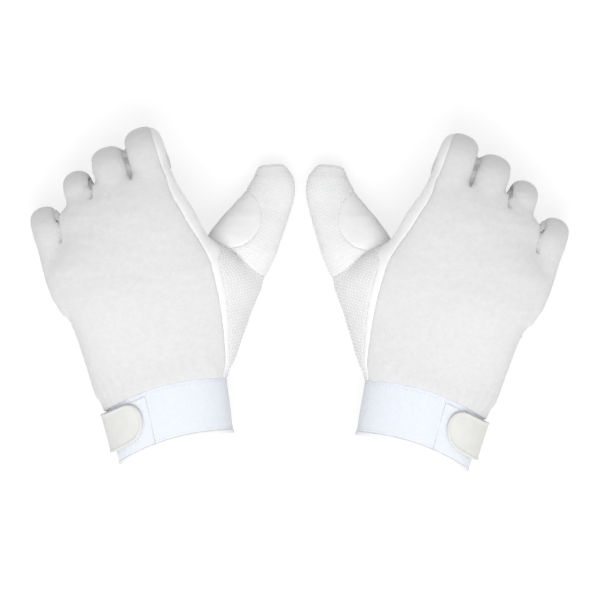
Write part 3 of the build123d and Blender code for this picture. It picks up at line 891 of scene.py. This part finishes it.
def dot_material():
    """Soft clear-white printed rubber, a little glossier than the cloth, with fine cloudiness."""
    material = bpy.data.materials.new("grip dots")
    material.use_nodes = True
    tree = material.node_tree
    shader = tree.nodes["Principled BSDF"]
    place = tree.nodes.new("ShaderNodeTexCoord").outputs["Object"]
    shade = spread(tree, noise(tree, place, 900.0), 0.93, 1.0)
    tint = tree.nodes.new("ShaderNodeMix")
    tint.data_type = "RGBA"
    tint.blend_type = "MULTIPLY"
    tint.inputs["Factor"].default_value = 1.0
    tint.inputs["A"].default_value = (0.95, 0.95, 0.95, 1)
    tree.links.new(shade, tint.inputs["B"])
    tree.links.new(tint.outputs["Result"], shader.inputs["Base Color"])
    tree.links.new(spread(tree, noise(tree, place, 2500.0), 0.35, 0.6), shader.inputs["Roughness"])
    return material


DOTS = dot_material()
tube_of_face = spot["tube"][faces[:, 0]]
for name, panel, part in (
    ("palm_dots", GRIP, tube_of_face == 0),
    ("finger_dots", GRIP, tube_of_face != 0),
    ("thumb_dots", THUMB, tube_of_face >= 0),
):
    mine = (panels == panel) & part
    uv = UV_TOP if panel == THUMB else UV_UNDER
    place, out = dots_on(faces[mine], uv[mine])
    over_cuff = above_edge(place, -HAND_HEM)
    place, out = place[over_cuff > 1.5], out[over_cuff > 1.5]
    made, many = domes(place, out, DOT_RADIUS, DOT_HEIGHT)
    for side in SIDES:
        new_piece(name, side, made, many, DOTS)

# ---- Cuff -------------------------------------------------------------------------------------------------
# A looped stretch band goes round the wrist, open over a short vent on the little finger's side. A folded
# binding finishes its hem, and a ribbed stretch tape closes the vent from inside.
VENT_LOW, VENT_HIGH = 180.0, 195.0
BAND_WALL, TAPE_WALL, TAPE_LAP = 1.6, 0.9, 15.0
HEM_HEIGHT, HEM_PROUD = 2.6, 0.5


def on_cuff(angle, y, outward):
    """Point of the cuff's oval at an angle, a distance along the hand and a distance out of the cloth."""
    share = -y / CUFF_LENGTH
    w = CUFF_TOP[1] + (CUFF_END[1] - CUFF_TOP[1]) * share + outward
    x, z = oval(angle, np.stack([w, CUFF_HALF + outward + 0.0 * w], -1))
    return np.stack([CUFF_TOP[0] + (CUFF_END[0] - CUFF_TOP[0]) * share + x, y, CUFF_MIDDLE + z], -1)


def edge_y(x, y):
    """Where an arched edge, whose ends lie at y, crosses each x."""
    c, s = np.cos(CUFF_SKEW), np.sin(CUFF_SKEW)
    return (y + CUFF_BULGE * (1 - np.clip(x / CUFF_TOP[1], -1, 1) ** 2) + x * s) / c


def rim_loop(low, high, corner, outer_steps):
    """Cross-section of a band: up its outer face, over a rounded edge, down its inner face and round the
    other edge. Each point is a share of the way up, a shift in millimetres and a distance outwards."""
    turn = np.linspace(0, np.pi / 2, 4)
    up = np.linspace(0, 1, outer_steps)
    rows = [np.stack([up, corner * (1 - 2 * up), np.full(outer_steps, high)], 1)]
    for share, sign, outward, flip in ((1, 1, high, 1), (1, 1, low, -1), (0, -1, low, -1), (0, -1, high, 1)):
        shift = sign * (corner * np.sin(turn) - corner)
        lift = outward - flip * (corner - corner * np.cos(turn))
        quarter = np.stack([np.full(4, share), shift, lift], 1)
        if (share == 1) == (flip == -1):
            quarter = quarter[::-1]
        rows.append(quarter)
        if share == 1 and flip == -1:
            down = np.linspace(1, 0, 14)[1:-1]
            rows.append(np.stack([down, corner * (1 - 2 * down), np.full(12, low)], 1))
    loop = np.vstack(rows)
    keep = np.ones(len(loop), bool)
    keep[1:] = np.linalg.norm(np.diff(loop * [40.0, 1, 1], axis=0), axis=1) > 1e-6
    return loop[keep][:-1]


def band_shell(angles, low_y, high_y, loop, relief=None):
    """Closed shell round part of the cuff: the loop is carried along the oval, each time between the two
    edges' y at that x, and both ends are closed by fans."""
    share, shift, lift = loop.T
    a = np.repeat(angles[:, None], len(loop), axis=1)
    outward = np.repeat(lift[None], len(angles), axis=0)
    y = np.full_like(a, -CUFF_LENGTH / 2)
    for _ in range(3):
        x = on_cuff(a, y, outward)[..., 0]
        y = low_y(x) + (high_y(x) - low_y(x)) * share + shift
    if relief is not None:
        outward = outward + relief(a, y, lift)
    rings = on_cuff(a, y, outward)
    n = len(loop)
    quads = grid_faces(len(angles), n, closed=True)[:, ::-1]
    body = np.vstack([quads[:, [0, 1, 2]], quads[:, [0, 2, 3]]])
    points = np.vstack([rings.reshape(-1, 3), rings[0].mean(0)[None], rings[-1].mean(0)[None]])
    j = np.arange(n)
    k = (j + 1) % n
    last = (len(angles) - 1) * n
    first_fan = np.stack([j, k, np.full(n, len(points) - 2)], 1)
    last_fan = np.stack([last + k, last + j, np.full(n, len(points) - 1)], 1)
    uv = np.stack([a * 0.5, y], -1).reshape(-1, 2)
    uv = np.vstack([uv, uv[:1], uv[-1:]])
    return points, np.vstack([body, first_fan, last_fan]), uv


BAND_COTTON = cloth_material(
    "looped stretch band", (0.85, 0.885, 0.955),
    {"Cloud size": 300.0, "Cloud depth": 0.03, "Fleck depth": 0.03, "Ribs": 0.8, "Fuzz": 1.4},
    0.06, sheen=0.4)
BINDING_TAPE = cloth_material(
    "folded binding", (0.95, 0.95, 0.98),
    {"Cloud size": 400.0, "Cloud depth": 0.03, "Fleck depth": 0.03, "Ribs": 1.0, "Fuzz": 0.6}, 0.03)
VENT_TAPE = cloth_material(
    "ribbed stretch tape", (0.83, 0.83, 0.79),
    {"Cloud size": 400.0, "Cloud depth": 0.04, "Fleck depth": 0.05, "Ribs": 2.4, "Fuzz": 0.5}, 0.14)


def looped_face(a, y, lift):
    """Small loops standing out of the band's outer face, and a shallow dip along its stitch line."""
    where = np.stack([a.ravel() * 0.6, y.ravel(), np.zeros(a.size)], 1)
    loops = lumps(where, 0.9, 11) + 0.7 * lumps(where, 2.2, 12) - 0.85
    soft = 0.5 * (lumps(where, 9.0, 13) - 0.5)
    outer = np.broadcast_to(lift > -0.3, a.shape)
    x = on_cuff(a, y, 0.0)[..., 0]
    dip = 0.22 * np.exp(-((edge_y(x, 0.0) - 2.0 - y) / 0.5) ** 2)
    return np.where(outer, 0.05 * loops.reshape(a.shape) + soft.reshape(a.shape) * 0.4 - dip, 0.0)


def top_edge(x):
    return edge_y(x, 0.0)


def hem_top(x):
    return edge_y(x, -CUFF_LENGTH + HEM_HEIGHT)


def hem_edge(x):
    return edge_y(x, -CUFF_LENGTH)


around = np.linspace(VENT_HIGH - 360, VENT_LOW, 420)
points_band, faces_band, uv_band = band_shell(
    around, hem_top, top_edge, rim_loop(-BAND_WALL, 0.0, 0.5, 64), looped_face)
points_hem, faces_hem, uv_hem = band_shell(
    around[::2], hem_edge, hem_top, rim_loop(-BAND_WALL, HEM_PROUD, 0.7, 8))
vent = np.linspace(VENT_LOW - TAPE_LAP, VENT_HIGH + TAPE_LAP, 60)
points_tape, faces_tape, uv_tape = band_shell(
    vent, hem_top, top_edge, rim_loop(-BAND_WALL - TAPE_WALL, -BAND_WALL, 0.25, 40))
for side in SIDES:
    new_piece("cuff_band_cloth", side, points_band, faces_band, BAND_COTTON,
              ["cuff_band"], uv=uv_band)
    new_piece("cuff_hem", side, points_hem, faces_hem, BINDING_TAPE,
              ["cuff_binding"], uv=uv_hem)
    new_piece("vent_tape", side, points_tape, faces_tape, VENT_TAPE,
              ["vent_gusset"], uv=uv_tape)

# ---- Closure ----------------------------------------------------------------------------------------------
# A moulded tab goes over the back of the wrist, with a raised rim and a round free end. A hook patch under
# it grips a loop patch on the band, and its root is sewn to the band on the underside.
PILE, SEAT_GAP = 0.8, 0.35
LOOP_LOW, LOOP_HIGH = 105.0, 165.0
HOOK_LOW, HOOK_HIGH = 120.0, 165.0
HOOK_MARGIN = 2.2  # the hook patch stops short of the tab's edge by this
TAB_HIGH, HINGE_GAP, HINGE_LAND, ANCHOR_HIGH = 210.0, 0.75, 15.0, 240.0
TAB_WALL, TAB_RIM, TAB_RIM_WIDTH, TAB_CORNER = 1.4, 0.5, 1.6, 9.5
TAB_END = -14.4
TAB_UPPER = ((-60.0, -33.0, -12.8), (-5.8, -4.6, -0.9))
TAB_LOWER = ((-60.0, -33.0, -12.8), (-28.4, -26.6, -21.2))
TAB_UNDER = PILE + SEAT_GAP + PILE


def tab_edges(x, inset):
    """Middle and half height of the tab's outline at x: two straight sides, and a round free end that falls
    away as a circle does."""
    upper = np.interp(x, *TAB_UPPER) - inset
    lower = np.interp(x, *TAB_LOWER) + inset
    corner = TAB_CORNER - inset
    into = np.clip(TAB_END - inset - x, 0, corner)
    half = (upper - lower) / 2
    rounded = half - corner + np.sqrt(np.maximum(corner ** 2 - (corner - into) ** 2, 1e-6))
    return (upper + lower) / 2, np.minimum(half, rounded)


def distance_inside(x, off, inset=0.0):
    """Distance from the tab's edge to a point inside it: the rounded box rule, with only one end."""
    upper = np.interp(x, *TAB_UPPER) - inset
    lower = np.interp(x, *TAB_LOWER) + inset
    corner = TAB_CORNER - inset
    p = corner - (TAB_END - inset - x)
    q = np.abs(off) - ((upper - lower) / 2 - corner)
    outside = np.hypot(np.maximum(p, 0), np.maximum(q, 0))
    return corner - outside - np.minimum(np.maximum(p, q), 0)


def plate(angle_low, angle_high, under, over, inset, relief, steps=90, across=33):
    """Curved plate on the cuff within the tab's outline: a grid from the free end round to the other end and
    from edge to edge, its top and underside joined into one closed shell with rounded edges."""
    angles = angle_low + (angle_high - angle_low) * (1 - np.cos(np.linspace(0, np.pi / 2, steps)))
    v = np.sin(np.linspace(-np.pi / 2, np.pi / 2, across))
    a = np.repeat(angles[:, None], across, axis=1)
    sheets = []
    for level in ("over", "under"):
        outward = np.full_like(a, over if level == "over" else under)
        y = np.full_like(a, -15.0)
        for _ in range(4):
            x = on_cuff(a, y, outward)[..., 0]
            x = np.minimum(x, TAB_END - inset)
            middle, half = tab_edges(x, inset)
            y = middle + half * v
        x = on_cuff(a, y, outward)[..., 0]
        inside = np.maximum(distance_inside(np.minimum(x, TAB_END - inset), y - middle, inset), 0)
        if level == "over" and relief is not None:
            outward = outward + relief(a, x, inside)
        sheets.append(on_cuff(a, y, outward))
    loop = np.concatenate([sheets[0], sheets[1][:, ::-1]], axis=1)
    n = 2 * across
    quads = grid_faces(steps, n, closed=True)[:, ::-1]
    body = np.vstack([quads[:, [0, 1, 2]], quads[:, [0, 2, 3]]])
    made = np.vstack([loop.reshape(-1, 3), loop[0].mean(0)[None], loop[-1].mean(0)[None]])
    j = np.arange(n)
    k = (j + 1) % n
    last = (steps - 1) * n
    ends = [np.stack([j, k, np.full(n, len(made) - 2)], 1),
            np.stack([last + k, last + j, np.full(n, len(made) - 1)], 1)]
    flat = np.concatenate([a, a[:, ::-1]], 1) * 0.6
    uv = np.stack([flat, loop[..., 1]], -1).reshape(-1, 2)
    return made, np.vstack([body, *ends]), np.vstack([uv, uv[:1], uv[-1:]])


def free_end_angle(inset, outward):
    """Angle at which the cuff's oval reaches the tab's free end."""
    angles = np.linspace(90, 150, 2000)
    x = on_cuff(angles, np.full_like(angles, -11.0), outward)[..., 0]
    return float(np.interp(-(TAB_END - inset), -x, angles))


def tab_face(a, x, inside):
    """The tab's top: edges rounded over half a millimetre, and a raised rim that ends short of the hinge."""
    edge = np.clip(inside / 0.5, 0, 1)
    rounded = -0.5 * (1 - np.sqrt(1 - (1 - edge) ** 2))
    rim = TAB_RIM * step(inside, 0.1, 0.5) * (1 - step(inside, TAB_RIM_WIDTH - 0.5, TAB_RIM_WIDTH))
    return rounded + rim * (1 - step(a, TAB_HIGH - HINGE_LAND - 4.0, TAB_HIGH - HINGE_LAND))


def tab_material():
    """Soft moulded plastic: off-white, satin, with a fine grain and slight cloudiness."""
    material = bpy.data.materials.new("moulded tab")
    material.use_nodes = True
    tree = material.node_tree
    shader = tree.nodes["Principled BSDF"]
    place = tree.nodes.new("ShaderNodeTexCoord").outputs["Object"]
    shade = spread(tree, noise(tree, place, 120.0, 3.0), 0.94, 1.0)
    tint = tree.nodes.new("ShaderNodeMix")
    tint.data_type = "RGBA"
    tint.blend_type = "MULTIPLY"
    tint.inputs["Factor"].default_value = 1.0
    tint.inputs["A"].default_value = (0.79, 0.79, 0.765, 1)
    tree.links.new(shade, tint.inputs["B"])
    tree.links.new(tint.outputs["Result"], shader.inputs["Base Color"])
    tree.links.new(spread(tree, noise(tree, place, 700.0), 0.38, 0.52), shader.inputs["Roughness"])
    relief = tree.nodes.new("ShaderNodeBump")
    relief.inputs["Strength"].default_value = 0.5
    relief.inputs["Distance"].default_value = 0.04 * MM
    tree.links.new(noise(tree, place, 2600.0, 2.0), relief.inputs["Height"])
    tree.links.new(relief.outputs["Normal"], shader.inputs["Normal"])
    shader.inputs["Subsurface Weight"].default_value = 0.15
    shader.inputs["Subsurface Radius"].default_value = (0.002, 0.002, 0.0015)
    return material


TAB_PLASTIC = tab_material()
LOOP_PILE = cloth_material(
    "loop patch", (0.86, 0.89, 0.955),
    {"Cloud size": 500.0, "Cloud depth": 0.04, "Fleck depth": 0.04, "Ribs": 0.2, "Fuzz": 2.0},
    0.08, sheen=0.4)
HOOK_TAPE = cloth_material(
    "hook patch", (0.84, 0.84, 0.82),
    {"Cloud size": 500.0, "Cloud depth": 0.04, "Fleck depth": 0.10, "Ribs": 2.0, "Fuzz": 1.0},
    0.20, sheen=0.0)


def pile_face(a, y, lift):
    """Brushed loops of the patch, which is thinned towards the tab's free end."""
    where = np.stack([a.ravel() * 0.6, y.ravel(), np.zeros(a.size)], 1)
    loops = lumps(where, 0.7, 21) + 0.6 * lumps(where, 1.8, 22) - 0.8
    thinned = 0.68 * (1 - step(a, LOOP_LOW, LOOP_LOW + 4.0))
    return np.where(np.broadcast_to(lift > 0.4, a.shape), 0.08 * loops.reshape(a.shape) - thinned, 0.0)


def patch_top(x):
    return edge_y(x, -HAND_HEM - 2.6)


points_pile, faces_pile, uv_pile = band_shell(
    np.linspace(LOOP_LOW, LOOP_HIGH, 110), hem_top, patch_top, rim_loop(0.0, PILE, 0.3, 60), pile_face)
over = TAB_UNDER + TAB_WALL
points_tab, faces_tab, uv_tab = plate(free_end_angle(0.0, over), TAB_HIGH, TAB_UNDER, over, 0.0, tab_face)
points_hook, faces_hook, uv_hook = plate(
    HOOK_LOW, HOOK_HIGH, TAB_UNDER - PILE, TAB_UNDER, HOOK_MARGIN, None, 40, 21)


def root_face(a, x, inside):
    return -0.5 * (1 - np.sqrt(1 - (1 - np.clip(inside / 0.5, 0, 1)) ** 2))


points_root, faces_root, uv_root = plate(
    TAB_HIGH + HINGE_GAP, ANCHOR_HIGH, 0.0, over, 0.0, root_face, 30, 33)
for side in SIDES:
    tab = f"{side}_tab"
    new_piece("loop_pile", side, points_pile, faces_pile, LOOP_PILE,
              ["loop_patch"], uv=uv_pile)
    new_piece("tab_plate", side, points_tab, faces_tab, TAB_PLASTIC,
              ["closure_tab"], tab, uv_tab)
    new_piece("hook_tape", side, points_hook, faces_hook, HOOK_TAPE,
              ["hook_patch"], tab, uv_hook)
    new_piece("tab_root", side, points_root, faces_root, TAB_PLASTIC,
              ["tab_anchor"], uv=uv_root)

# ---- Stitching --------------------------------------------------------------------------------------------
# White thread holds the band's upper edge to the hand and its hem binding, in two rows of short stitches
# that run round the cuff.
STITCH_LENGTH, STITCH_GAP, THREAD_LIFT = 1.7, 0.7, 0.02


def stitches(path, out, length, gap, radius=0.16):
    """Short threads laid end to end along a path: each is a thin bead, six sided, pointed where it dives
    into the cloth and highest in its middle."""
    run = np.concatenate([[0], np.cumsum(np.linalg.norm(np.diff(path, axis=0), axis=1))])
    starts = np.arange(0, run[-1] - length, length + gap)
    share = np.linspace(0, 1, 5)
    s = (starts[:, None] + share * length).ravel()
    place = np.stack([np.interp(s, run, path[:, k]) for k in range(3)], 1)
    up = np.stack([np.interp(s, run, out[:, k]) for k in range(3)], 1)
    up = up / np.linalg.norm(up, axis=1)[:, None]
    later, sooner = s + 0.1, s - 0.1
    ahead = np.stack([np.interp(later, run, path[:, k]) - np.interp(sooner, run, path[:, k])
                      for k in range(3)], 1)
    ahead = ahead / np.linalg.norm(ahead, axis=1)[:, None]
    aside = np.cross(ahead, up)
    lift = np.tile(np.sin(share * np.pi) * 0.22 - 0.08, len(starts))
    size = np.tile(radius * (0.35 + 0.65 * np.sin(share * np.pi)), len(starts))
    turn = np.arange(6) * np.pi / 3
    spoke = aside[:, None] * np.cos(turn)[None, :, None] + up[:, None] * np.sin(turn)[None, :, None]
    ringed = (place + up * lift[:, None])[:, None] + spoke * size[:, None, None]
    made = ringed.reshape(-1, 3)
    quads = grid_faces(5, 6, closed=True)
    one = np.vstack([quads[:, [0, 1, 2]], quads[:, [0, 2, 3]],
                     [[0, 2, 1], [0, 3, 2], [0, 4, 3], [0, 5, 4]],
                     [[24, 25, 26], [24, 26, 27], [24, 27, 28], [24, 28, 29]]])
    many = (one[None] + np.arange(len(starts))[:, None, None] * 30).reshape(-1, 3)
    return made, many


THREAD = cloth_material(
    "sewing thread", (0.90, 0.90, 0.92),
    {"Cloud size": 600.0, "Cloud depth": 0.03, "Fleck depth": 0.06, "Ribs": 0.0, "Fuzz": 0.5}, 0.05)


def cuff_line(angles, y_of, outward):
    """Line on the cuff at each angle, and the direction out of it."""
    y = np.full_like(angles, -CUFF_LENGTH / 2)
    for _ in range(3):
        y = y_of(on_cuff(angles, y, outward)[..., 0])
    line = on_cuff(angles, y, outward)
    return line, on_cuff(angles, y, outward + 1.0) - line


rows = []
turn = np.linspace(VENT_HIGH - 358, VENT_LOW - 2, 400)
for line_y in (-HAND_HEM - 2.0, -CUFF_LENGTH + 3.6):
    line, out = cuff_line(turn, lambda x: edge_y(x, line_y), THREAD_LIFT)
    rows.append(stitches(line, out, STITCH_LENGTH, STITCH_GAP))
sewn_made = np.vstack([made for made, _ in rows])
shift = np.cumsum([0] + [len(made) for made, _ in rows[:-1]])
sewn_many = np.vstack([many + s for (_, many), s in zip(rows, shift)])
for side in SIDES:
    new_piece("cuff_stitches", side, sewn_made, sewn_many, THREAD, uv=sewn_made[:, :2])

# ---- Floor, light and camera ------------------------------------------------------------------------------
# A plain white table, one large soft lamp above the cuffs and an even pale surrounding light, which leaves
# the fingers a little darker than the wrists.
LAMP_PLACE, LAMP_SIZE, LAMP_POWER = (0.0, -0.62, 1.3), 0.9, 11.5
SURROUND = 0.64
def floor_material():
    """Pale floor: the camera, mirrors and glass see it a little lighter than it lights the gloves, and it
    keeps their soft shadow."""
    material = bpy.data.materials.new("floor")
    material.use_nodes = True
    tree = material.node_tree
    tree.nodes.remove(tree.nodes["Principled BSDF"])
    out = tree.nodes["Material Output"]
    path = tree.nodes.new("ShaderNodeLightPath")
    seen = combine(tree, "MAXIMUM", path.outputs["Is Camera Ray"], path.outputs["Is Glossy Ray"])
    seen = combine(tree, "MAXIMUM", seen, path.outputs["Is Transmission Ray"])
    plain = tree.nodes.new("ShaderNodeBsdfDiffuse")
    plain.inputs["Color"].default_value = (0.82, 0.82, 0.82, 1)
    soft = tree.nodes.new("ShaderNodeBsdfDiffuse")
    soft.inputs["Color"].default_value = (0.30, 0.30, 0.30, 1)
    glow = tree.nodes.new("ShaderNodeEmission")
    glow.inputs["Strength"].default_value = 0.74
    both = tree.nodes.new("ShaderNodeAddShader")
    tree.links.new(soft.outputs[0], both.inputs[0])
    tree.links.new(glow.outputs[0], both.inputs[1])
    mix = tree.nodes.new("ShaderNodeMixShader")
    tree.links.new(seen, mix.inputs[0])
    tree.links.new(plain.outputs[0], mix.inputs[1])
    tree.links.new(both.outputs[0], mix.inputs[2])
    tree.links.new(mix.outputs[0], out.inputs["Surface"])
    return material


corners = np.array([[-3.0, -3.0, 0.0], [3.0, -3.0, 0.0], [3.0, 3.0, 0.0], [-3.0, 3.0, 0.0]])
ground = bpy.data.meshes.new("floor")
ground.from_pydata(corners + [0, 0, -0.0004], [], [[0, 1, 2, 3]])
ground.materials.append(floor_material())
floor = bpy.data.objects.new("floor", ground)
bpy.context.scene.collection.objects.link(floor)

world = bpy.data.worlds.new("surroundings")
world.use_nodes = True
surrounding = world.node_tree.nodes["Background"]
surrounding.inputs["Color"].default_value = (1, 1, 1, 1)
surrounding.inputs["Strength"].default_value = SURROUND
bpy.context.scene.world = world
lamp = bpy.data.lights.new("overhead", "AREA")
lamp.shape = "SQUARE"
lamp.size = LAMP_SIZE
lamp.energy = LAMP_POWER
overhead = bpy.data.objects.new("overhead", lamp)
overhead.location = LAMP_PLACE
overhead.rotation_euler = (Vector((0, 0, 0)) - overhead.location).to_track_quat("-Z", "Y").to_euler()
bpy.context.scene.collection.objects.link(overhead)

low, high = [Vector(corner) for corner in cad_box]
eye = bpy.data.cameras.new("camera")
eye.type = "PERSP"
eye.sensor_width = 36.0
DISTANCE, WIDTH = 1.9, 0.330
eye.lens = 36.0 * DISTANCE / WIDTH
camera = bpy.data.objects.new("camera", eye)
middle = (low + high) / 2
camera.location = (middle.x + 0.0002, middle.y + 0.0005, high.z * 0.58 + DISTANCE)
bpy.context.scene.collection.objects.link(camera)
bpy.context.scene.camera = camera
bpy.context.scene.view_settings.view_transform = "Standard"
